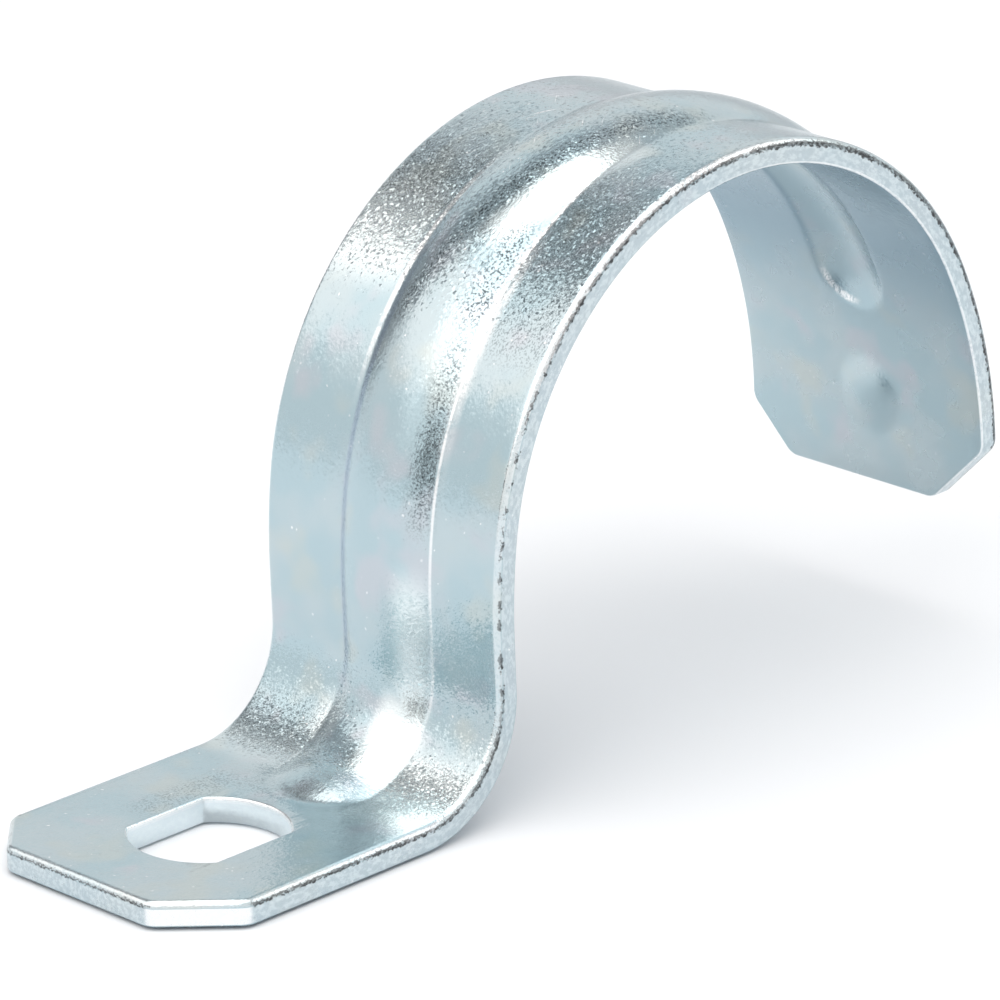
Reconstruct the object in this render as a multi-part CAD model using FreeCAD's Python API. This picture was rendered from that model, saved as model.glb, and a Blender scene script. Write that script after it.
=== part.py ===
import FreeCAD, Part
import math
import os

# One-hole conduit strap, pressed and bent from one strip of steel.
# Millimetres and degrees. Origin: the screw slot's centre on the foot's underside.
# +X runs along the foot to the arch, +Y across the strip, +Z away from the wall.

# driving dimensions
strip_width = 20.0
strip_thick = 1.65
die_shift = 0.45          # the strip's middle lies this far behind the slot, bead and clips

slot_to_tip = 10.05       # slot centre to the foot's end
slot_to_bend = 8.95       # slot centre to the start of the bend
slot_length = 9.9         # round ends, one circle
slot_width = 7.7          # between the two flats
slot_corner = 0.8         # where a flat meets a round end
slot_rollover = 0.2       # drawn-in rim on the outer side, where the punch went in

bend_radius = 8.0         # underside
bend_angle = 91.8
riser_flat = 3.5
riser_radius = 37.8       # riser leans back out to the arch
riser_angle = 9.2
saddle_radius = 21.0      # bears on the conduit
saddle_angle = 145.9
leg_radius = 31.0         # far leg opens out below the saddle
leg_angle = 26.0
leg_flat = 3.3

foot_clip = 3.8           # corners cut off at 45 degrees
leg_clip = 3.8
corner_radius = 1.2       # rounding of those corners
rollover = 0.45           # rounded sheared edge, outer side
deburr = 0.15             # broken edge, inner side

bead_past_bend = 1.5      # centre of the round end on the foot, past the start of the bend
bead_to_end = 15.3        # centre of the far round end, short of the leg's end
bead_width = 7.6          # stiffening bead, on the outside
bead_height = 0.95
bead_root = 0.4           # root radius where the bead leaves the strip
bead_wall = 1.0           # groove is narrower than the bead by this on each side
bead_draw = 0.1           # and shallower by this, where the metal stretched

nub_to_end = 6.2          # retaining nub pressed into the far leg
nub_width = 4.8
nub_height = 0.5

# working allowances of the cutting and joining tools
sink = 0.6                # how far a bead's section goes down into the strip
margin = 3.0              # how far a cutter stands clear of what it cuts
near = 0.01

# the bent line of the underside: straight and round runs end to end, as (length, curvature)
foot_flat = slot_to_tip + slot_to_bend
runs = [
    (foot_flat, 0.0),
    (bend_radius * math.radians(bend_angle), 1.0 / bend_radius),
    (riser_flat, 0.0),
    (riser_radius * math.radians(riser_angle), -1.0 / riser_radius),
    (saddle_radius * math.radians(saddle_angle), -1.0 / saddle_radius),
    (leg_radius * math.radians(leg_angle), -1.0 / leg_radius),
    (leg_flat, 0.0),
]
full_length = sum(length for length, bow in runs)
across = FreeCAD.Vector(0, 1, 0)


def station(s):
    """Point, tangent and outward normal of the underside at arc length s."""
    x, z, turn = -slot_to_tip, 0.0, 0.0
    for k, (length, bow) in enumerate(runs):
        step = s if k == len(runs) - 1 else min(s, length)
        if bow:
            far = turn + bow * step
            x += (math.sin(far) - math.sin(turn)) / bow
            z += (math.cos(turn) - math.cos(far)) / bow
            turn = far
        else:
            x += step * math.cos(turn)
            z += step * math.sin(turn)
        s -= step
        if s <= 0:
            break
    tangent = FreeCAD.Vector(math.cos(turn), 0, math.sin(turn))
    normal = FreeCAD.Vector(-math.sin(turn), 0, math.cos(turn))
    return FreeCAD.Vector(x, 0, z), tangent, normal


def at(s, y, n):
    """Point at arc length s, y across the strip and n out from the underside."""
    point, tangent, normal = station(s)
    return point + normal * n + across * y


def where(p):
    """Arc length, place across the strip and height over the underside of a point near it."""
    best, start = None, 0.0
    for length, bow in runs:
        point, tangent, normal = station(start)
        if bow:
            side = math.copysign(1.0, bow)
            spoke = p - (point + normal * (1.0 / bow))
            s = math.atan2(spoke.dot(tangent), -side * spoke.dot(normal)) / abs(bow)
            n = side * (1.0 / abs(bow) - math.hypot(spoke.x, spoke.z))
        else:
            s, n = (p - point).dot(tangent), (p - point).dot(normal)
        miss = max(0.0, -s, s - length)
        if abs(n) < 3 * strip_thick and (best is None or miss < best[0]):
            best = (miss, start + s, n)
        start += length
    return best[1], p.y, best[2]


def marks(edge):
    """Where five points along an edge lie."""
    a, b = edge.FirstParameter, edge.LastParameter
    return [where(edge.valueAt(a + (b - a) * k / 4.0)) for k in range(5)]


# sections, and what carries them along the line

def sweep(section, first, last):
    """Carry a section along the bent line. section(s) gives a face that stands across it."""
    body, start = None, 0.0
    for length, bow in runs:
        a, b = max(first, start), min(last, start + length)
        if b - a > near:
            face = section(a)
            point, tangent, normal = station(a)
            if bow:
                centre = point + normal * (1.0 / bow)
                piece = face.revolve(centre, -across, math.degrees(bow * (b - a)))
            else:
                piece = face.extrude(tangent * (b - a))
            body = body.fuse(piece) if body else piece
        start += length
    return body.removeSplitter()


def slab(width, low, high, middle=0.0):
    """Rectangular section, from n = low to n = high."""
    left, right = middle - width / 2.0, middle + width / 2.0

    def section(s):
        corners = [at(s, left, low), at(s, right, low), at(s, right, high), at(s, left, high)]
        return Part.Face(Part.makePolygon(corners + corners[:1]))
    return section


def hump(width, height, base):
    """Round-topped section, as wide as stated at n = base, that goes on down by the sink.

    Returns it with the radius of its top and the height of that radius's centre."""
    radius = (width * width / 4.0 + height * height) / (2.0 * height)
    hub = base + height - radius
    floor = base - sink
    half = math.sqrt(radius * radius - (floor - hub) ** 2)

    def section(s):
        left, top, right = at(s, -half, floor), at(s, 0, base + height), at(s, half, floor)
        return Part.Face(Part.Wire([Part.Arc(left, top, right).toShape(), Part.makeLine(right, left)]))
    return section, radius, hub


def ball(s, radius, hub):
    """Sphere over the strip's centreline. Its seam is turned to the far side, out of the work."""
    sphere = Part.makeSphere(radius)
    inward = station(s)[2] * math.copysign(1.0, hub)
    turn = FreeCAD.Rotation(inward, across.cross(inward), across, "ZXY")
    sphere.Placement = FreeCAD.Placement(at(s, 0, hub), turn)
    return sphere


# the strip

def end_clips(s_end, inward, size):
    """Two wedges that take the corners off one end. They are centred on the slot, not on the strip."""
    point, tangent, normal = station(s_end)
    along = tangent * inward
    wedges = []
    for side in (-1, 1):
        reach = size - side * die_shift
        corner = point + across * (die_shift + side * strip_width / 2.0) - normal * margin
        a = corner + along * (reach + margin) + across * side * margin
        b = corner - along * margin - across * side * (reach + margin)
        c = corner - along * margin + across * side * margin
        wedge = Part.Face(Part.makePolygon([a, b, c, a]))
        wedges.append(wedge.extrude(normal * (2 * margin + strip_thick)))
    return wedges[0].fuse(wedges[1])


def upright(edge):
    """True for a short edge that goes through the strip's thickness."""
    heights = [n for s, y, n in marks(edge)]
    return max(heights) - min(heights) > strip_thick - near and edge.Length < strip_thick + near


def plain_strip():
    body = sweep(slab(strip_width, 0.0, strip_thick, die_shift), 0.0, full_length)
    body = body.cut(end_clips(0.0, 1, foot_clip)).cut(end_clips(full_length, -1, leg_clip))
    return body.makeFillet(corner_radius, [edge for edge in body.Edges if upright(edge)])


def rim(body, level):
    """Edges where the strip's face at n = level meets its sheared sides."""
    found = []
    for edge in body.Edges:
        if any(abs(n - level) > near for s, y, n in marks(edge)):
            continue
        p = edge.valueAt((edge.FirstParameter + edge.LastParameter) / 2.0)
        out = station(where(p)[0])[2]
        for face in body.ancestorsOfType(edge, Part.Face):
            if abs(face.normalAt(*face.Surface.parameter(p)).dot(out)) < 0.5:
                found.append(edge)
    return found


def sheared_edges(body):
    """Rolled over on the outside, broken on the inside."""
    body = body.makeFillet(rollover, rim(body, strip_thick))
    return body.makeChamfer(deburr, rim(body, 0.0))


# the bead, raised outside and hollow inside, with round run-outs

def beaded(plain, first, last):
    """The strip with its bead, blended into the outer face along both sides and round both ends."""
    crest, radius, hub = hump(bead_width, bead_height, strip_thick)
    rib = sweep(crest, first, last)
    for s, a, b in ((first, first - bead_width, first), (last, last, last + bead_width)):
        shell = sweep(slab(2 * bead_width, strip_thick - sink, strip_thick + 2 * bead_height), a, b)
        rib = rib.fuse(ball(s, radius, hub).common(shell))
    whole = plain.fuse(rib).removeSplitter()
    root = []
    for edge in whole.Edges:
        spots = marks(edge)
        on_face = all(abs(n - strip_thick) < near for s, y, n in spots)
        beside = all(abs(y) < bead_width and -bead_width < s - first < last - first + bead_width
                     for s, y, n in spots)
        if on_face and beside:
            root.append(edge)
    return whole.makeFillet(bead_root, root)


def blended_bead(plain):
    """The kernel balks at some exact bead lengths, so near ones are tried until the blend holds."""
    first = foot_flat + bead_past_bend
    last = full_length - bead_to_end
    for nudge in (0.0, 0.1, -0.1, 0.2, -0.2, 0.4, -0.4):
        try:
            body = beaded(plain, first, last + nudge)
        except Part.OCCError:
            continue
        if body.isValid():
            return body, first, last + nudge
    raise ValueError("the bead's root could not be blended")


def grooved(body, first, last):
    hollow, radius, hub = hump(bead_width - 2 * bead_wall, bead_height - bead_draw, 0.0)
    groove = sweep(hollow, first, last)
    for s in (first, last):
        groove = groove.fuse(ball(s, radius, hub))
    return body.cut(groove)


def nubbed(body):
    """Retaining nub, pushed in from outside so that it stands out inside."""
    s = full_length - nub_to_end
    radius = (nub_width ** 2 / 4.0 + nub_height ** 2) / (2.0 * nub_height)
    layer = slab(2 * nub_width, -2 * nub_height, strip_thick / 2.0)
    inside = sweep(layer, s - nub_width, min(s + nub_width, full_length))
    body = body.fuse(ball(s, radius, radius - nub_height).common(inside))
    return body.cut(ball(s, radius, strip_thick + radius - nub_height))


def slotted(body):
    """Screw slot: a round hole with two flats."""
    low, tall = -margin, 2 * margin + strip_thick
    disc = Part.makeCylinder(slot_length / 2.0, tall, FreeCAD.Vector(0, 0, low))
    corner = FreeCAD.Vector(-slot_length, -slot_width / 2.0, low)
    slot = disc.common(Part.makeBox(2 * slot_length, slot_width, tall, corner))
    corners = []
    for edge in slot.Edges:
        on_flat = abs(abs(edge.CenterOfMass.y) - slot_width / 2.0) < near
        if on_flat and edge.Length > tall - near and edge.tangentAt(edge.FirstParameter).z:
            corners.append(edge)
    body = body.cut(slot.makeFillet(slot_corner, corners))
    return body.makeFillet(slot_rollover, rim(body, strip_thick))


plain = sheared_edges(plain_strip())
body, bead_first, bead_last = blended_bead(plain)
body = slotted(nubbed(grooved(body, bead_first, bead_last))).removeSplitter()
shape = body.Solids[0] if len(body.Solids) == 1 else body
os.makedirs("parts", exist_ok=True)
shape.exportStep("parts/strap.step")
print("strap: solids", len(shape.Solids), "faces", len(shape.Faces), "valid", shape.isValid())
print("bead", round(bead_first, 2), "to", round(bead_last, 2), "of", round(full_length, 2))
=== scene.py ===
import bmesh
import bpy
import math
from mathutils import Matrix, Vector


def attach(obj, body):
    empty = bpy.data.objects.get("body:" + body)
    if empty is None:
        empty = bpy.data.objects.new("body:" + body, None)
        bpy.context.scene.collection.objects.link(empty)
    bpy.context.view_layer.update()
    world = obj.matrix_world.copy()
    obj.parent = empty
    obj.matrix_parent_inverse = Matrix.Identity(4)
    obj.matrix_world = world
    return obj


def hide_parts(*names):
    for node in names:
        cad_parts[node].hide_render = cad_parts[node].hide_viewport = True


# One-hole conduit strap in bright zinc plate.
# It is worked flat, like the blank it is pressed from, and then bent round a line.

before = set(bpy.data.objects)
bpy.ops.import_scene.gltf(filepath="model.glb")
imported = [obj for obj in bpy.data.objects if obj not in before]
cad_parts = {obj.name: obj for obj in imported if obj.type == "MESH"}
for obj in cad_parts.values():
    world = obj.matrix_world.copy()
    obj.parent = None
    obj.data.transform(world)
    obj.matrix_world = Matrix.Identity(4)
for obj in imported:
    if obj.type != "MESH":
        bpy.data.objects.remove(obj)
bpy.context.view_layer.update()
mm = 0.001
close = 0.01                                # millimetres within which two levels are the same


# small helpers

def pick(obj):
    bpy.ops.object.select_all(action="DESELECT")
    obj.select_set(True)
    bpy.context.view_layer.objects.active = obj


def editMode(obj, kind="EDGE"):
    pick(obj)
    bpy.ops.object.mode_set(mode="EDIT")
    bpy.ops.mesh.select_mode(type=kind)


def objectMode():
    bpy.ops.object.mode_set(mode="OBJECT")


def selectEdges(obj, test):
    bpy.ops.mesh.select_all(action="DESELECT")
    mesh = bmesh.from_edit_mesh(obj.data)
    for edge in mesh.edges:
        if all(test(v.co / mm) for v in edge.verts):
            edge.select_set(True)
    bmesh.update_edit_mesh(obj.data)


def cutAt(point, normal, drop=False, fill=False):
    bpy.ops.mesh.select_all(action="SELECT")
    bpy.ops.mesh.bisect(plane_co=Vector(point) * mm, plane_no=normal, clear_outer=drop, use_fill=fill)


def applyModifier(obj, modifier):
    pick(obj)
    bpy.ops.object.modifier_apply(modifier=modifier.name)


# strap: blank, slot, bead, bends

strap = {                                   # millimetres and degrees; "in" bends up, "out" bends down
    "width": 20.0, "thick": 1.65,
    "shift": 0.45,                          # strip's middle lies this far behind the slot and bead
    "tipToSlot": 10.05, "slotLength": 9.9, "slotWidth": 7.7, "slotRim": 0.18,
    "slotCorner": 0.28, "slotFacets": 84, "punchDepth": 6.0,
    "footClip": 3.8, "legClip": 3.8, "clipAngle": 45, "cornerRadius": 1.2,
    "rollover": 0.45, "deburr": 0.15,
    "beadStart": 20.5, "beadToEnd": 15.3, "beadWidth": 7.6, "beadHeight": 0.94,
    "grooveWidth": 5.6, "grooveHeight": 0.85, "rootBlend": 0.22,
    "nubToEnd": 6.2, "nubWidth": 4.8, "nubHeight": 0.5,
    "runs": [("straight", 19.0), ("in", 8.0, 91.8), ("straight", 3.5), ("out", 37.8, 9.2),
             ("out", 21.0, 145.9), ("out", 31.0, 26.0), ("straight", 3.3)],
    "stepAlong": 0.5, "stepFine": 0.25, "stepAcross": 0.3, "gridMargin": 1.0,
    "cornerFacets": 5, "rollFacets": 6, "edgeFacets": 3,
    "handleSpan": 30, "curveSteps": 48,     # degrees between the bend line's points, steps between them
}


def runLength(run):
    if run[0] == "straight":
        return run[1]
    return run[1] * math.radians(run[2])


strapLength = sum(runLength(run) for run in strap["runs"])


def addBlank():
    bpy.ops.mesh.primitive_plane_add(size=1, location=(strapLength / 2 * mm, strap["shift"] * mm, 0))
    blank = bpy.context.object
    blank.name = "strapPressed"
    blank.scale = (strapLength * mm, strap["width"] * mm, 1)
    bpy.ops.object.transform_apply(location=True, scale=True)
    editMode(blank, "VERT")
    for end, inward, clip in ((0, 1, strap["footClip"]), (strapLength, -1, strap["legClip"])):
        for side in (-1, 1):
            reach = clip - side * strap["shift"]
            edge = strap["shift"] + side * strap["width"] / 2
            cutAt((end + inward * reach, edge, 0), (-inward, side, 0), drop=True)
    bpy.ops.mesh.select_all(action="SELECT")
    tangentLength = strap["cornerRadius"] * math.tan(math.radians(strap["clipAngle"] / 2))
    bpy.ops.mesh.bevel(offset=tangentLength * mm, segments=strap["cornerFacets"],
                       affect="VERTICES", profile=0.5)
    bpy.ops.mesh.select_all(action="SELECT")
    bpy.ops.mesh.extrude_region_move(TRANSFORM_OT_translate={"value": (0, 0, strap["thick"] * mm)})
    bpy.ops.mesh.select_all(action="SELECT")
    bpy.ops.mesh.normals_make_consistent(inside=False)
    objectMode()
    return blank


def punchSlot(blank):
    bpy.ops.mesh.primitive_cylinder_add(vertices=strap["slotFacets"], radius=strap["slotLength"] / 2 * mm,
                                        depth=strap["punchDepth"] * mm,
                                        location=(strap["tipToSlot"] * mm, 0, 0))
    punch = bpy.context.object
    bpy.ops.object.transform_apply(location=True)
    half = strap["slotWidth"] / 2
    editMode(punch)
    cutAt((0, half, 0), (0, 1, 0), drop=True, fill=True)
    cutAt((0, -half, 0), (0, -1, 0), drop=True, fill=True)
    reach = math.sqrt((strap["slotLength"] / 2) ** 2 - half ** 2)
    selectEdges(punch, lambda p: abs(abs(p.y) - half) < close
                and abs(abs(p.x - strap["tipToSlot"]) - reach) < 2 * close)
    mesh = bmesh.from_edit_mesh(punch.data)
    for edge in mesh.edges:                 # only the upright ones
        if edge.select and abs(edge.verts[0].co.z - edge.verts[1].co.z) < mm:
            edge.select_set(False)
    bpy.ops.mesh.bevel(offset=strap["slotCorner"] * mm, segments=strap["edgeFacets"], affect="EDGES")
    objectMode()
    hole = blank.modifiers.new("slot", "BOOLEAN")
    hole.object = punch
    hole.solver = "EXACT"
    applyModifier(blank, hole)
    bpy.data.objects.remove(punch)


def insideSlot(p):
    spare = 10 * close
    byLength = abs(p.x - strap["tipToSlot"]) < strap["slotLength"] / 2 + spare
    return byLength and abs(p.y) < strap["slotWidth"] / 2 + spare


def roundEdges(blank, test, radius, facets):
    selectEdges(blank, test)
    bpy.ops.mesh.bevel(offset=radius * mm, segments=facets, affect="EDGES", profile=0.5)


def roundRims(blank):
    top, few = strap["thick"], strap["edgeFacets"]
    editMode(blank)
    roundEdges(blank, lambda p: abs(p.z - top) < close and not insideSlot(p),
               strap["rollover"], strap["rollFacets"])
    roundEdges(blank, lambda p: abs(p.z) < close and not insideSlot(p), strap["deburr"], few)
    roundEdges(blank, lambda p: abs(p.z - top) < close and insideSlot(p), strap["slotRim"], few)
    objectMode()


def cutGrid(blank):
    editMode(blank)
    across = strap["beadWidth"] / 2 + strap["rootBlend"]
    lines = int(across / strap["stepAcross"])
    for k in range(-lines, lines + 1):
        cutAt((0, k * strap["stepAcross"], 0), (0, 1, 0))
    for side in (-1, 1):
        for y in (across, across - strap["rootBlend"], across - 2 * strap["rootBlend"],
                  strap["grooveWidth"] / 2):
            cutAt((0, side * y, 0), (0, 1, 0))
        cutAt((0, strap["shift"] + side * (strap["width"] / 2 - 2 * strap["rollover"]), 0), (0, 1, 0))
    s = strap["beadStart"] - strap["beadWidth"] / 2 - strap["stepAlong"]
    margin = strap["gridMargin"]
    fineFrom = strapLength - strap["beadToEnd"] - margin
    fineTo = fineFrom + strap["beadWidth"] / 2 + 1.5 * margin
    while s < strapLength - margin:
        cutAt((s, 0, 0), (1, 0, 0))
        nearEnd = s < strap["beadStart"] + margin or fineFrom < s < fineTo
        s += strap["stepFine"] if nearEnd else strap["stepAlong"]
    objectMode()


def domeHeight(distance, width, height, blend):
    half = width / 2
    radius = (half * half + height * height) / (2 * height)
    slope = half / (radius - height)
    if distance > half + blend:
        return 0.0
    if distance > half - blend:
        return slope * (half + blend - distance) ** 2 / (4 * blend)
    return math.sqrt(radius * radius - distance * distance) - (radius - height)


def swell(distance, form):                  # from 0 to 1, over the form's width
    width, height = strap[form + "Width"], strap[form + "Height"]
    return domeHeight(distance, width, height, strap["rootBlend"]) / height


def press(obj, name, height, shape):
    group = obj.vertex_groups.new(name=name)
    for v in obj.data.vertices:
        weight = shape(v.co / mm)
        if weight > 0:
            group.add([v.index], weight, "REPLACE")
    push = obj.modifiers.new(name, "DISPLACE")
    push.direction = "Z"
    push.mid_level = 0
    push.strength = height * mm
    push.vertex_group = name
    applyModifier(obj, push)
    obj.vertex_groups.remove(obj.vertex_groups[name])


def pressForms(blank):
    beadEnd = strapLength - strap["beadToEnd"]

    def fromSpine(p):
        beyond = max(strap["beadStart"] - p.x, p.x - beadEnd, 0)
        return math.hypot(p.y, beyond)

    def bead(p):
        return 0 if p.z < strap["thick"] - close else swell(fromSpine(p), "bead")

    def groove(p):
        return 0 if p.z > close else swell(fromSpine(p), "groove")

    def nub(p):
        return swell(math.hypot(p.y, p.x - (strapLength - strap["nubToEnd"])), "nub")

    press(blank, "bead", strap["beadHeight"], bead)
    press(blank, "groove", strap["grooveHeight"], groove)
    press(blank, "nub", -strap["nubHeight"], nub)


def bendLine():
    line = bpy.data.curves.new("bendLine", "CURVE")
    line.dimensions = "3D"
    line.twist_mode = "MINIMUM"
    line.resolution_u = strap["curveSteps"]
    spline = line.splines.new("BEZIER")
    x, z, turn = -strap["tipToSlot"], 0.0, 0.0
    stops = [(x, z, turn, 0.0)]             # place, heading and handle length of the run before
    for run in strap["runs"]:
        if run[0] == "straight":
            x += run[1] * math.cos(turn)
            z += run[1] * math.sin(turn)
            stops.append((x, z, turn, run[1] / 3))
            continue
        way = 1 if run[0] == "in" else -1
        parts = math.ceil(run[2] / strap["handleSpan"])
        part = math.radians(run[2]) / parts
        for k in range(parts):
            far = turn + way * part
            x += way * run[1] * (math.sin(far) - math.sin(turn))
            z += way * run[1] * (math.cos(turn) - math.cos(far))
            turn = far
            stops.append((x, z, turn, run[1] * 4 / 3 * math.tan(part / 4)))
    spline.bezier_points.add(len(stops) - 1)
    for k, (x, z, turn, back) in enumerate(stops):
        ahead = stops[k + 1][3] if k + 1 < len(stops) else back
        point = spline.bezier_points[k]
        place, along = Vector((x, 0, z)), Vector((math.cos(turn), 0, math.sin(turn)))
        point.co = place * mm
        point.handle_left_type = point.handle_right_type = "FREE"
        point.handle_left = (place - along * back) * mm
        point.handle_right = (place + along * ahead) * mm
    obj = bpy.data.objects.new("bendLine", line)
    bpy.context.scene.collection.objects.link(obj)
    return obj


def bendBlank(blank):
    line = bendLine()
    bend = blank.modifiers.new("bend", "CURVE")
    bend.object = line
    bend.deform_axis = "POS_X"
    applyModifier(blank, bend)
    bpy.data.objects.remove(line)


def keepFlatPlaces(obj):
    flat = obj.data.attributes.new("flat", "FLOAT_VECTOR", "POINT")
    for v in obj.data.vertices:
        flat.data[v.index].vector = v.co


def makeStrap():
    blank = addBlank()
    punchSlot(blank)
    roundRims(blank)
    cutGrid(blank)
    keepFlatPlaces(blank)
    pressForms(blank)
    bendBlank(blank)
    pick(blank)
    bpy.ops.object.shade_smooth()
    even = blank.modifiers.new("even", "WEIGHTED_NORMAL")
    even.mode = "FACE_AREA"
    even.weight = 100
    applyModifier(blank, even)
    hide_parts("strap")
    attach(blank, "root")
    print("strap made:", len(blank.data.polygons), "faces")
    return blank


# look

def colour(text):                           # sRGB hex to linear
    parts = [int(text[k:k + 2], 16) / 255 for k in (1, 3, 5)]
    return [p / 12.92 if p <= 0.04045 else ((p + 0.055) / 1.055) ** 2.4 for p in parts] + [1.0]


def plug(tree, socket, value):
    if isinstance(value, bpy.types.NodeSocket):
        tree.links.new(value, socket)
    else:
        socket.default_value = value


def addNode(tree, kind, settings=None, **sockets):
    node = tree.nodes.new(kind)
    for name, value in (settings or {}).items():
        setattr(node, name, value)
    for name, value in sockets.items():
        plug(tree, node.inputs[name.replace("_", " ")], value)
    return node


def maths(tree, operation, a, b=0.0):
    node = addNode(tree, "ShaderNodeMath", {"operation": operation})
    plug(tree, node.inputs[0], a)
    plug(tree, node.inputs[1], b)
    return node.outputs[0]


def vector(tree, operation, a, b):
    node = addNode(tree, "ShaderNodeVectorMath", {"operation": operation}, Vector=a)
    plug(tree, node.inputs[1], b)
    return node.outputs["Vector"]


def plus(tree, a, b):
    return maths(tree, "ADD", a, b)


def minus(tree, a, b):
    return maths(tree, "SUBTRACT", a, b)


def times(tree, value, *others):
    for other in others:
        value = maths(tree, "MULTIPLY", value, other)
    return value


def most(tree, value, *others):
    for other in others:
        value = maths(tree, "MAXIMUM", value, other)
    return value


def rest(tree, value):
    return minus(tree, 1.0, value)


def gap(tree, a, b=0.0):
    return maths(tree, "ABSOLUTE", minus(tree, a, b))


def hypotenuse(tree, a, b):
    return maths(tree, "SQRT", plus(tree, times(tree, a, a), times(tree, b, b)))


def fade(tree, value, low, high, start=0.0, end=1.0):
    node = addNode(tree, "ShaderNodeMapRange", {"interpolation_type": "SMOOTHSTEP"},
                   Value=value, From_Min=low, From_Max=high, To_Min=start, To_Max=end)
    return node.outputs[0]


def stretch(tree, value, run):              # fades in over the first pair and out over the second
    return times(tree, fade(tree, value, run[0], run[1]), fade(tree, value, run[3], run[2]))


def stripe(tree, value, centre, edge, core, strength=1.0):
    return fade(tree, gap(tree, value, centre), edge, core, 0.0, strength)


def blend(tree, factor, under, over):
    node = addNode(tree, "ShaderNodeMix", {"data_type": "RGBA"})
    plug(tree, node.inputs[0], factor)
    plug(tree, node.inputs[6], under)
    plug(tree, node.inputs[7], over)
    return node.outputs[2]


def noise(tree, place, size, detail=2.0, roughness=0.5, longer=1.0, turn=0.0):
    turned = addNode(tree, "ShaderNodeMapping", Vector=place, Rotation=(0, 0, math.radians(turn)))
    scaled = addNode(tree, "ShaderNodeMapping", Vector=turned.outputs[0],
                     Scale=(1 / (size * longer), 1 / size, 1 / size))
    node = addNode(tree, "ShaderNodeTexNoise", Vector=scaled.outputs[0],
                   Scale=1.0, Detail=detail, Roughness=roughness)
    return node.outputs["Fac"]


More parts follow.
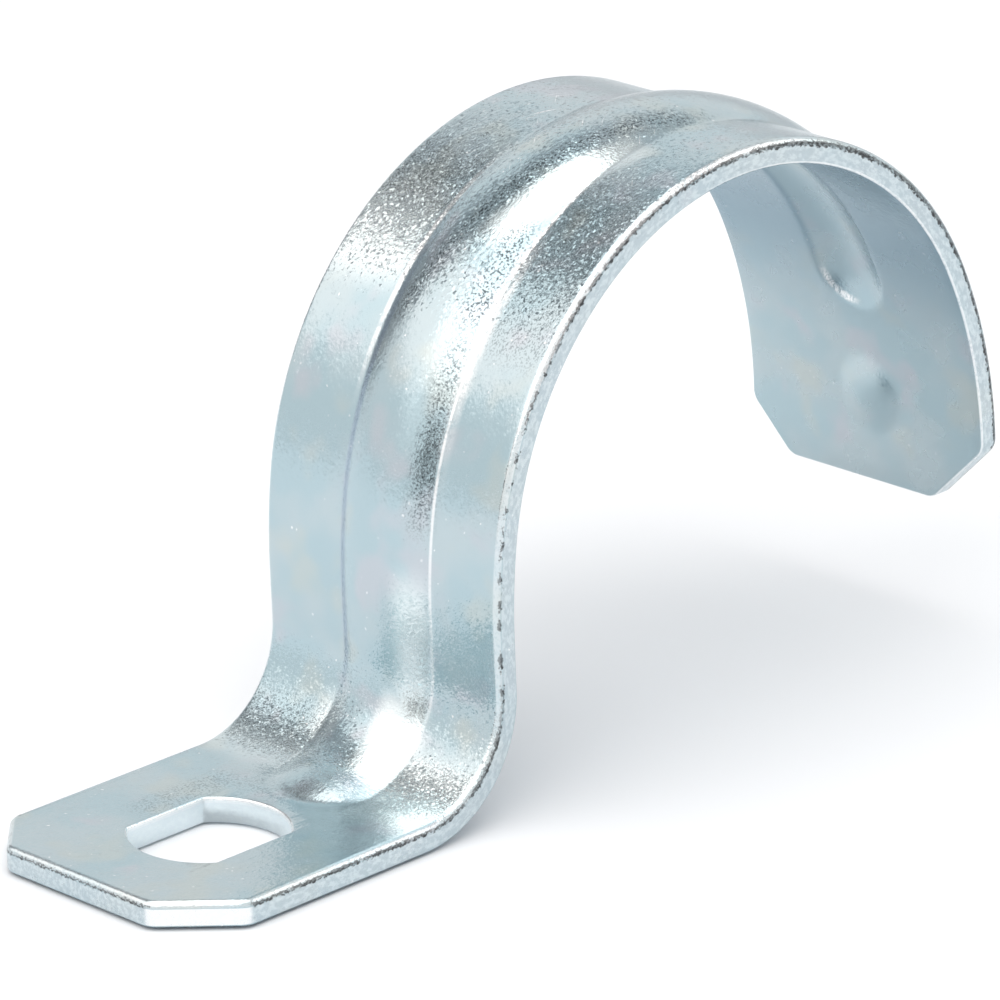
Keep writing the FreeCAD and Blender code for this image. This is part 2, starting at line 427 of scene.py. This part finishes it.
zinc = {                                    # the finish: sizes in millimetres of plate
    "plain": "#bac9ce", "teal": "#b0c5cc", "warm": "#c4cac5", "rose": "#c0c6cd",
    # the pit tone is also painted shade, the dark inner tone painted shade, the slot wall's tone a painted
    # reflection, and the pale and white tones also painted highlights
    "pale": "#edf6f7", "pitShade": "#454e53", "inside": "#90a6b2", "dusk": "#93a3b8",
    "wall": "#bac6cc", "slotWall": "#e0eaee", "break": "#3c3b3c", "highlightAndScratch": "#ffffff",

    # noises: size, detail, roughness, how much longer than wide, turn
    "cloud": (6.0, 2.0, 0.55), "otherCloud": (4.2, 2.0, 0.5, 1.0, 40), "patches": (3.0, 2.0, 0.6),
    "ragged": (0.22, 3.0, 0.7, 1.3), "gaps": (1.2, 3.0, 0.7), "mottle": (0.3, 3.0, 0.7, 1.8),
    "pitShadeSpecks": (0.13, 3.0, 0.6, 1.1, 25), "grain": (0.24, 3.0, 0.62, 1.2), "ripple": (1.6, 1.0),
    "grainDepth": 0.031, "rippleDepth": 0.02,
    "flakeSize": 0.16, "flakeTilt": 0.3, "flakeShake": 1.6, "fleckSize": 0.4,
    "tickLength": 2.6, "tickWidth": 0.09, "tickTurns": (28, -42),

    # how much of a noise shows: from, to, and the strength at each end where it isn't 0 and 1
    "tealPart": (0.40, 0.62), "warmPart": (0.54, 0.72, 0.0, 0.5), "rosePart": (0.44, 0.28, 0.0, 0.8),
    "mottlePart": (0.42, 0.62, 0.0, 0.35), "pitShadePart": (0.5, 0.6), "breakWear": (0.4, 0.6, 0.95, 0.6),
    "fleckPart": (0.26, 0.12), "fleckChance": (0.88, 0.93), "fleckPatches": (0.42, 0.6),
    "tickPart": (0.785, 0.845), "tickPatches": (0.5, 0.65, 0.0, 0.8),
    "rimShineRagged": (0.35, 0.5, 0.35, 0.85), "rootShineRagged": (0.3, 0.5, 0.3, 0.9),
    "crescentShineRagged": (0.4, 0.55, 0.2, 0.9), "looseFlakes": (0.46, 0.56),
    "wallPart": 0.7, "smoothHighlight": 0.85, "clipShine": 0.7, "rootShare": 0.6,

    # strength off a zone and in it
    "fleckShare": (0.6, 0.2), "flakeInner": (1.0, 0.2),
    "flakeWorked": (0.28, 1.0), "grainWorked": (0.65, 1.15),

    # heights over the inner face, and depths under the outer one
    "innerFace": (0.10, 0.02), "lowerRimHighlight": (0.01, 0.04, 0.14, 0.2), "wallFrom": (0.10, 0.18),
    "outerFace": (0.02, 0.01), "rolledRim": (0.005, 0.05, 0.34, 0.42), "wallTo": (0.05, -0.02),
    "slotRim": (0.005, 0.04, 0.18, 0.3), "slotDeep": (0.05, 0.2), "slotZone": (0.3, 0.4),

    # stretches along the strip
    "footWorked": (18, 23, 29, 34), "crownWorked": (50, 56, 66, 78), "riser": (28, 34, 48, 56),
    "crown": (58, 64, 80, 88), "duskRun": (27, 33, 50, 62), "glowRun": (42, 50, 56, 61),
    "rightRun": (27, 31, 60, 66), "leftRun": (46, 52, 60, 66), "shadeInsideFrom": (104, 92),
    "rimFoot": (40, 56, 0.35, 1.0), "rimLeg": (80, 66, 0.15, 1.0), "lowerLeg": (60, 80, 0.0, 0.7),
    "rootRun": (34, 50, 0.55, 1.0),

    # lines by the bead and the groove: how far past the root, edge, core, strength
    # these lines are painted: highlights by the bead's roots and round the groove's end, shadow along the
    # dusk line
    "rightRoot": (0.0, 0.17, 0.04, 1.0), "rightGlow": (0.2, 0.75, 0.05, 0.6),
    "leftRoot": (0.15, 0.3, 0.1, 0.7), "duskLine": (-0.35, 0.5, 0.1, 0.6),
    "crescentHighlight": (-0.3, 0.3, 0.05, 1.0), "crescentPast": (0.0, 1.2), "crescentSide": (-0.5, 1.0),
    "channelSoft": 0.5, "channelEnds": 3.0, "channelLift": 0.6,

    # the torn line round the sheared edge
    "breakDepth": 0.36, "breakWidth": 0.24, "breakSoft": 0.04, "breakWander": 0.7,
    "breakWider": (62, 74, 0.0, 0.04), "breakThinner": (1.2, 0.4, 0.0, 0.05),
    "breakGaps": (0.32, 0.46), "riserGaps": (0.5, 0.56), "clipGlow": (0.4, 0.15),

    # satin: roughness of the smoothest and the dullest patches, and what other places add
    "satin": (0.3, 0.7, 0.09, 0.15), "flatSatin": 0.08, "flakeShine": 0.04,
    "hiddenSatin": 0.06, "slotSatin": 0.25,

    # places on the flat strip: along from, to; across from, to; how strongly
    # the first list of places is painted highlight: a pale tone where the reflection is brighter
    "highlightPlaces": [(17.5, 25, -10.5, -3.8, 1.0), (21, 27, -4.2, -1.4, 0.8), (26, 37.5, -3.7, -1.6, 0.7),
                   (19.5, 23.5, 2.5, 11, 0.5), (23, 27.5, 2.4, 4.6, 0.7), (54, 60.5, 4.2, 11, 0.75)],
    # the second list of places is pits and painted shade: dark specks where the reflection goes dark
    "pitShadePlaces": [(22.5, 26.5, 3.5, 11, 0.6), (22, 25.5, -9.5, -4.6, 0.4), (41, 52, -3.9, -2.3, 0.7),
                  (52.5, 59.5, -3.8, -2.0, 0.95), (51.5, 60, -11, -4.4, 0.5), (58.5, 64, 3.6, 11, 0.55),
                  (59, 65, -9.5, -4.2, 0.35), (9, 17, 4.0, 6.4, 0.4), (15.5, 17.5, 0, 5, 0.35)],
    "smoothPlaces": [(21, 29.5, -3.9, -0.7, 0.85)],
    "highlightSoft": 1.6, "pitShadeSoft": 1.4, "smoothSoft": 1.2,
    "slantPitShade": (52, 73, -0.75, 0.75, 0.9),    # the same, along the bead's shadow side
    "slantSmooth": (58, 68, -3.4, -1.0, 0.85),
    "slantFrom": (60, 0.4), "slant": 0.27,
}


def patch(tree, along, across, place, soft):
    low, high, right, left, strength = place
    lengthwise = stretch(tree, along, (low - soft, low + soft, high - soft, high + soft))
    crosswise = times(tree, fade(tree, across, right - soft / 2, right + soft / 2),
                      fade(tree, across, left + soft / 2, left - soft / 2, 0.0, strength))
    return times(tree, lengthwise, crosswise)


def anyPlace(tree, at, places, soft):
    total = 0.0
    for place in places:
        total = most(tree, total, patch(tree, at["along"], at["across"], place, soft))
    return total


# where a point of the plate lies: heights, faces, slot, clip, worked and smooth places

def findPlaces(tree):
    flat = addNode(tree, "ShaderNodeAttribute", {"attribute_name": "flat"})
    scaled = addNode(tree, "ShaderNodeVectorMath", {"operation": "SCALE"},
                     Vector=flat.outputs["Vector"], Scale=1 / mm)
    at = {"place": scaled.outputs[0]}
    at["along"], at["across"], at["up"] = addNode(tree, "ShaderNodeSeparateXYZ", Vector=at["place"]).outputs
    at["below"] = minus(tree, strap["thick"], at["up"])
    for name in ("ragged", "gaps", "patches"):
        at[name] = noise(tree, at["place"], *zinc[name])

    wallTop = strap["thick"] - strap["rollover"]
    wallEnd = [wallTop - depth for depth in zinc["wallTo"]]
    at["wall"] = stretch(tree, at["up"], [*zinc["wallFrom"], *wallEnd])
    at["inner"] = fade(tree, at["up"], *zinc["innerFace"])
    at["face"] = fade(tree, at["below"], *zinc["outerFace"])
    fromSlot = hypotenuse(tree, minus(tree, at["along"], strap["tipToSlot"]), at["across"])
    at["outside"] = fade(tree, fromSlot, *[strap["slotLength"] / 2 + far for far in zinc["slotZone"]])
    at["inSlot"] = rest(tree, at["outside"])
    clipAt = 2 * strap["shift"] - strap["width"] / 2 + strap["footClip"]    # on the near clip
    at["clipped"] = fade(tree, plus(tree, at["along"], at["across"]),
                         *[clipAt + far for far in zinc["clipGlow"]])

    fromTurn = times(tree, minus(tree, at["along"], zinc["slantFrom"][0]), zinc["slant"])
    at["leaning"] = plus(tree, minus(tree, at["across"], zinc["slantFrom"][1]), fromTurn)
    at["smooth"] = most(tree, anyPlace(tree, at, zinc["smoothPlaces"], zinc["smoothSoft"]),
                        patch(tree, at["along"], at["leaning"], zinc["slantSmooth"], zinc["smoothSoft"]))
    worked = most(tree, stretch(tree, at["along"], zinc["footWorked"]),
                  stretch(tree, at["along"], zinc["crownWorked"]))
    at["worked"] = times(tree, worked, rest(tree, at["smooth"]))
    return at


# soft clouds of colour from the passivating bath

def cloudTint(tree, at):
    cloud = noise(tree, at["place"], *zinc["cloud"])
    other = noise(tree, at["place"], *zinc["otherCloud"])
    tint = blend(tree, fade(tree, cloud, *zinc["tealPart"]), colour(zinc["teal"]), colour(zinc["plain"]))
    tint = blend(tree, fade(tree, other, *zinc["warmPart"]), tint, colour(zinc["warm"]))
    return blend(tree, fade(tree, other, *zinc["rosePart"]), tint, colour(zinc["rose"]))


# painted shade, darker on the inner face inside the bend and less of it in the groove; lighter on the wall;
# and a painted reflection lightening the slot's wall

def hiddenTint(tree, at, tint):
    half, ends = strap["grooveWidth"] / 2, zinc["channelEnds"]
    first, last = strap["beadStart"], strapLength - strap["beadToEnd"]
    channel = times(tree, fade(tree, gap(tree, at["across"]), half, half - zinc["channelSoft"]),
                    fade(tree, at["along"], first - ends, first), fade(tree, at["along"], last + ends, last))
    shadeInside = times(tree, at["inner"], fade(tree, at["along"], *zinc["shadeInsideFrom"]),
                 rest(tree, times(tree, channel, zinc["channelLift"])))
    # painted shade on the inner face
    tint = blend(tree, shadeInside, tint, colour(zinc["inside"]))
    tint = blend(tree, times(tree, at["wall"], zinc["wallPart"]), tint, colour(zinc["wall"]))
    # painted reflection: the slot's wall is lightened
    return blend(tree, slotWall(tree, at), tint, colour(zinc["slotWall"]))


def slotWall(tree, at):
    return times(tree, at["inSlot"], fade(tree, at["below"], *zinc["slotDeep"]))


# painted highlights where the strip lies smooth and on listed places of the face, mottled on the wall, and a
# painted soft blue shadow by the bead's left root

def shownTint(tree, at, tint):
    # painted highlight: the pale tone laid on these places and on the smooth zones
    pale = most(tree, anyPlace(tree, at, zinc["highlightPlaces"], zinc["highlightSoft"]),
                times(tree, at["smooth"], zinc["smoothHighlight"]))
    tint = blend(tree, times(tree, pale, at["face"]), tint, colour(zinc["pale"]))
    mottle = fade(tree, noise(tree, at["place"], *zinc["mottle"]), *zinc["mottlePart"])
    tint = blend(tree, times(tree, at["wall"], mottle), tint, colour(zinc["pale"]))
    past, *line = zinc["duskLine"]
    dusk = times(tree, stripe(tree, at["across"], strap["beadWidth"] / 2 + past, *line),
                 stretch(tree, at["along"], zinc["duskRun"]), at["face"])
    return blend(tree, dusk, tint, colour(zinc["dusk"]))


# painted glints: bright specks in the grain

def glintFlecks(tree, at, shaken):
    cells = addNode(tree, "ShaderNodeTexVoronoi", {"feature": "F1"}, Vector=shaken,
                    Scale=1 / zinc["fleckSize"], Randomness=1.0)
    chance = addNode(tree, "ShaderNodeSeparateColor", Color=cells.outputs["Color"]).outputs[0]
    return times(tree, fade(tree, cells.outputs["Distance"], *zinc["fleckPart"]),
                 fade(tree, chance, *zinc["fleckChance"]), fade(tree, at["patches"], *zinc["fleckPatches"]),
                 fade(tree, at["inner"], 0.0, 1.0, *zinc["fleckShare"]))


# fine handling marks round the crown

def ticks(tree, at):
    marks = 0.0
    longer = zinc["tickLength"] / zinc["tickWidth"]
    for turn in zinc["tickTurns"]:
        lines = noise(tree, at["place"], zinc["tickWidth"], 0.0, 0.5, longer, turn)
        marks = most(tree, marks, fade(tree, lines, *zinc["tickPart"]))
    return times(tree, marks, stretch(tree, at["along"], zinc["crown"]),
                 fade(tree, at["patches"], *zinc["tickPatches"]))


# pits and painted shade: dark specks in the worked grain, laid where the plate's reflection goes dark

def pitShadeSpecks(tree, at):
    pitShaded = most(tree, anyPlace(tree, at, zinc["pitShadePlaces"], zinc["pitShadeSoft"]),
                  patch(tree, at["along"], at["leaning"], zinc["slantPitShade"], zinc["pitShadeSoft"]))
    darkSpecks = fade(tree, noise(tree, at["place"], *zinc["pitShadeSpecks"]), *zinc["pitShadePart"])
    return times(tree, darkSpecks, pitShaded, at["face"])


# painted highlights: the rolled rim, the slot's rim, the lower rim and the roots of the bead

def rimHighlights(tree, at):
    rolled = times(tree, stretch(tree, at["below"], zinc["rolledRim"]),
                   fade(tree, at["along"], *zinc["rimFoot"]), fade(tree, at["along"], *zinc["rimLeg"]))
    return most(tree, rolled, times(tree, at["inSlot"], stretch(tree, at["below"], zinc["slotRim"])))


def lowerRimHighlight(tree, at):
    return times(tree, stretch(tree, at["up"], zinc["lowerRimHighlight"]), fade(tree, at["along"], *zinc["lowerLeg"]))


def rootLine(tree, at, side, name):
    past, *line = zinc[name]
    rootAt = strap["beadWidth"] / 2 + strap["rootBlend"] * zinc["rootShare"] + past
    return stripe(tree, at["across"], side * rootAt, *line)


def rootHighlights(tree, at):
    glow = times(tree, rootLine(tree, at, -1, "rightGlow"), stretch(tree, at["along"], zinc["glowRun"]))
    right = times(tree, most(tree, rootLine(tree, at, -1, "rightRoot"), glow),
                  stretch(tree, at["along"], zinc["rightRun"]))
    left = times(tree, rootLine(tree, at, 1, "leftRoot"), stretch(tree, at["along"], zinc["leftRun"]))
    return times(tree, most(tree, right, left), at["face"], fade(tree, at["gaps"], *zinc["rootShineRagged"]),
                 fade(tree, at["along"], *zinc["rootRun"]))


# painted highlight round the groove's far end
def crescentHighlight(tree, at):                     # round the groove's far end
    pastEnd = minus(tree, at["along"], strapLength - strap["beadToEnd"])
    past, *line = zinc["crescentHighlight"]
    ring = stripe(tree, hypotenuse(tree, pastEnd, at["across"]), strap["grooveWidth"] / 2 + past, *line)
    return times(tree, ring, fade(tree, pastEnd, *zinc["crescentPast"]), at["inner"],
                 fade(tree, at["across"], *zinc["crescentSide"]),
                 fade(tree, at["ragged"], *zinc["crescentShineRagged"]))


# white marks: painted glints and highlights, the painted highlight on the clipped corner's edge, and the
# real handling marks
def highlightsAndScratches(tree, at, shaken):
    rolled = rimHighlights(tree, at)
    rimShine = times(tree, most(tree, rolled, lowerRimHighlight(tree, at)),
                      fade(tree, at["ragged"], *zinc["rimShineRagged"]))
    onEdge = fade(tree, most(tree, at["wall"], rolled), 0.0, 1.0, 0.0, zinc["clipShine"])
    return most(tree, glintFlecks(tree, at, shaken), ticks(tree, at), rimShine, rootHighlights(tree, at),
                crescentHighlight(tree, at), times(tree, at["clipped"], onEdge))


# the ragged dark line where the sheared edge tore

def tornLine(tree, at):
    wander = times(tree, minus(tree, at["ragged"], 0.5), zinc["breakWander"])
    line = plus(tree, strap["thick"] - zinc["breakDepth"], wander)
    fromLine = minus(tree, gap(tree, at["up"], line), fade(tree, at["along"], *zinc["breakWider"]))
    fromLine = plus(tree, fromLine, fade(tree, at["along"], *zinc["breakThinner"]))
    half, soft = zinc["breakWidth"] / 2, zinc["breakSoft"]
    onRiser = most(tree, rest(tree, stretch(tree, at["along"], zinc["riser"])),
                   fade(tree, at["gaps"], *zinc["riserGaps"]))
    return times(tree, fade(tree, fromLine, half + soft, half - soft), at["outside"],
                 fade(tree, at["gaps"], *zinc["breakGaps"]), rest(tree, at["clipped"]), onRiser)


# loose flakes that lie tilted, each one turned its own way

def looseFlakes(tree, at, shaken):
    cells = addNode(tree, "ShaderNodeTexVoronoi", {"feature": "F1"}, Vector=shaken,
                    Scale=1 / zinc["flakeSize"])
    own = vector(tree, "SUBTRACT", cells.outputs["Color"], (0.5, 0.5, 0.5))
    size = addNode(tree, "ShaderNodeVectorMath", {"operation": "LENGTH"}, Vector=own).outputs["Value"]
    loose = times(tree, fade(tree, size, *zinc["looseFlakes"]),
                  fade(tree, at["worked"], 0.0, 1.0, *zinc["flakeWorked"]),
                  fade(tree, at["inner"], 0.0, 1.0, *zinc["flakeInner"]), rest(tree, at["smooth"]))
    tilt = addNode(tree, "ShaderNodeVectorMath", {"operation": "SCALE"}, Vector=own,
                   Scale=times(tree, loose, zinc["flakeTilt"]))
    return loose, tilt.outputs["Vector"]


def platedNormal(tree, at, tilt):
    grain = times(tree, noise(tree, at["place"], *zinc["grain"]),
                  fade(tree, at["worked"], 0.0, 1.0, *zinc["grainWorked"]))
    height = plus(tree, times(tree, grain, zinc["grainDepth"]),
                  times(tree, noise(tree, at["place"], *zinc["ripple"]), zinc["rippleDepth"]))
    bump = addNode(tree, "ShaderNodeBump", Strength=1.0, Distance=mm, Height=height)
    turned = vector(tree, "ADD", bump.outputs["Normal"], tilt)
    return addNode(tree, "ShaderNodeVectorMath", {"operation": "NORMALIZE"}, Vector=turned).outputs[0]


def satin(tree, at, loose):
    dull = plus(tree, fade(tree, at["patches"], *zinc["satin"]),
                fade(tree, at["worked"], 0.0, 1.0, zinc["flatSatin"], 0.0))
    dull = minus(tree, dull, times(tree, loose, zinc["flakeShine"]))
    dull = plus(tree, dull, times(tree, most(tree, at["wall"], at["inner"]), zinc["hiddenSatin"]))
    return plus(tree, dull, times(tree, slotWall(tree, at), zinc["slotSatin"]))


# Bright zinc electroplate on cold-rolled steel strip, blanked and pressed.
# To the eye it is a pale blue-grey satin mirror: smooth where the strip stayed flat, a sparkling open
# grain where the tools bent it, painted highlights and glints in white, painted shade in dark pits and on
# the inner face, and a dark torn line round the sheared edge.
# The plate's own grain, flakes, pits and scratches are far finer, and are drawn coarse enough to show.

def brightZinc():
    material = bpy.data.materials.new("brightZincPlate")
    material.use_nodes = True
    tree = material.node_tree
    shader = tree.nodes["Principled BSDF"]
    shader.inputs["Metallic"].default_value = 1

    at = findPlaces(tree)
    swirl = addNode(tree, "ShaderNodeTexNoise", Vector=at["place"], Scale=1 / zinc["grain"][0], Detail=2.0)
    shaken = addNode(tree, "ShaderNodeVectorMath", {"operation": "MULTIPLY_ADD"},
                     Vector=swirl.outputs["Color"])
    plug(tree, shaken.inputs[1], [zinc["flakeSize"] * zinc["flakeShake"]] * 3)
    plug(tree, shaken.inputs[2], at["place"])
    shaken = shaken.outputs[0]

    tint = shownTint(tree, at, hiddenTint(tree, at, cloudTint(tree, at)))
    # dark pits, also painted shade where the reflection goes dark
    tint = blend(tree, pitShadeSpecks(tree, at), tint, colour(zinc["pitShade"]))
    # painted highlights and glints in white, with the real handling marks
    tint = blend(tree, highlightsAndScratches(tree, at, shaken), tint, colour(zinc["highlightAndScratch"]))
    torn = times(tree, tornLine(tree, at), fade(tree, at["ragged"], *zinc["breakWear"]))
    tint = blend(tree, torn, tint, colour(zinc["break"]))

    loose, tilt = looseFlakes(tree, at, shaken)
    plug(tree, shader.inputs["Base Color"], tint)
    plug(tree, shader.inputs["Normal"], platedNormal(tree, at, tilt))
    plug(tree, shader.inputs["Roughness"], satin(tree, at, loose))
    return material


# stage

view = {                                    # millimetres and degrees
    "location": (-262.58, -284.12, 166.67), "turn": (69.545, 0.773, -45.668),
    "lens": 250.93, "sensor": 36, "nearest": 20,
}

studio = {                                  # metres and degrees from the middle; azimuth 0 is +Y, 90 is +X
    "middle": (0.03, 0, 0.018),
    "ambient": 0.8,
    "floor": {"size": 6, "drop": 0.0002, "tone": "#f0f3f6"},
    # name, azimuth, elevation, distance, wide, high, level or facing the middle, radiance, colour
    "lamps": [
        ("overhead", -104.5, 57.4, 0.595, 0.98, 0.64, True, 1.12, (1, 0.95, 0.92)),
        ("nearLeft", -122, 36, 0.7, 0.34, 0.36, False, 0.9, (1, 0.93, 0.89)),
        ("leftBack", -42, 37, 0.7, 0.6, 0.36, False, 0.55, (1, 0.86, 0.79)),
        ("rightFront", 120, 32, 0.7, 0.5, 0.36, False, 0.9, (1, 0.94, 0.91)),
        ("left", -88, 28, 0.7, 0.64, 0.4, False, 0.25, (1, 0.86, 0.79)),
    ],
    "cards": [                              # the same, with a tone in place of the light
        ("behind", 0, 23, 0.6, 0.26, 0.46, False, "#a8aaac"),
        ("behindRight", 52, 50, 0.6, 0.56, 0.26, False, "#d4d6d8"),
        ("gapBehind", -1, 51, 0.58, 0.3, 0.08, False, "#4c4c4c"),
        ("right", 52, 4, 0.62, 0.4, 0.2, False, "#d8dadc"),
        ("leftLow", -92, 10, 0.6, 0.1, 0.2, False, "#303030"),
        ("rimBack", 18.6, 60.3, 0.579, 0.36, 0.05, True, "#202020"),
        ("rimRight", 114, 65.5, 0.55, 0.05, 0.66, True, "#202020"),
    ],
}


def addCamera():
    bpy.ops.object.camera_add(location=Vector(view["location"]) * mm,
                              rotation=[math.radians(a) for a in view["turn"]])
    camera = bpy.context.object
    camera.data.lens = view["lens"]
    camera.data.sensor_width = view["sensor"]
    camera.data.clip_start = view["nearest"] * mm
    bpy.context.scene.camera = camera


def facing(azimuth, elevation, distance, level):
    a, e = math.radians(azimuth), math.radians(elevation)
    ray = Vector((math.sin(a) * math.cos(e), math.cos(a) * math.cos(e), math.sin(e)))
    place = Vector(studio["middle"]) + ray * distance
    return place, (0, 0, 0) if level else ray.to_track_quat("Z", "Y").to_euler()


def addLamp(name, azimuth, elevation, distance, wide, high, level, radiance, warmth):
    place, turn = facing(azimuth, elevation, distance, level)
    bpy.ops.object.light_add(type="AREA", location=place, rotation=turn)
    lamp = bpy.context.object
    lamp.name = name
    lamp.data.shape = "RECTANGLE"
    lamp.data.size = wide
    lamp.data.size_y = high
    lamp.data.energy = radiance * math.pi * wide * high
    lamp.data.color = warmth


# matt paper and card: one even tone with no shine, so the floor stays white under a faint soft shadow,
# and the cards show only as tones in the metal

def paint(obj, tone):
    material = bpy.data.materials.new(obj.name)
    material.use_nodes = True
    shader = material.node_tree.nodes["Principled BSDF"]
    shader.inputs["Base Color"].default_value = colour(tone)
    shader.inputs["Roughness"].default_value = 1
    obj.data.materials.append(material)


def addCard(name, azimuth, elevation, distance, wide, high, level, tone):
    place, turn = facing(azimuth, elevation, distance, level)
    bpy.ops.mesh.primitive_plane_add(size=1, location=place, rotation=turn)
    card = bpy.context.object
    card.name = name
    card.scale = (wide, high, 1)
    card.visible_camera = False
    card.visible_diffuse = False
    card.visible_shadow = False
    paint(card, tone)


def addWorld():
    world = bpy.data.worlds.new("studio")
    bpy.context.scene.world = world
    world.use_nodes = True
    tree = world.node_tree
    rays = addNode(tree, "ShaderNodeLightPath").outputs
    seen = maths(tree, "MAXIMUM", rays["Is Camera Ray"], rays["Is Glossy Ray"])
    seen = maths(tree, "MAXIMUM", seen, rays["Is Transmission Ray"])
    back = tree.nodes["Background"]
    back.inputs["Color"].default_value = (1, 1, 1, 1)
    plug(tree, back.inputs["Strength"], fade(tree, seen, 0.0, 1.0, studio["ambient"], 1.0))


def addFloor():
    bpy.ops.mesh.primitive_plane_add(size=studio["floor"]["size"], location=(0, 0, -studio["floor"]["drop"]))
    floor = bpy.context.object
    floor.name = "floor"
    paint(floor, studio["floor"]["tone"])


def addStage():
    bpy.context.scene.view_settings.view_transform = "Standard"
    addWorld()
    for lamp in studio["lamps"]:
        addLamp(*lamp)
    for card in studio["cards"]:
        addCard(*card)
    addFloor()


piece = makeStrap()
piece.data.materials.clear()
piece.data.materials.append(brightZinc())
print("finish made")
addCamera()
addStage()
print("stage made:", len(studio["lamps"]), "lamps")
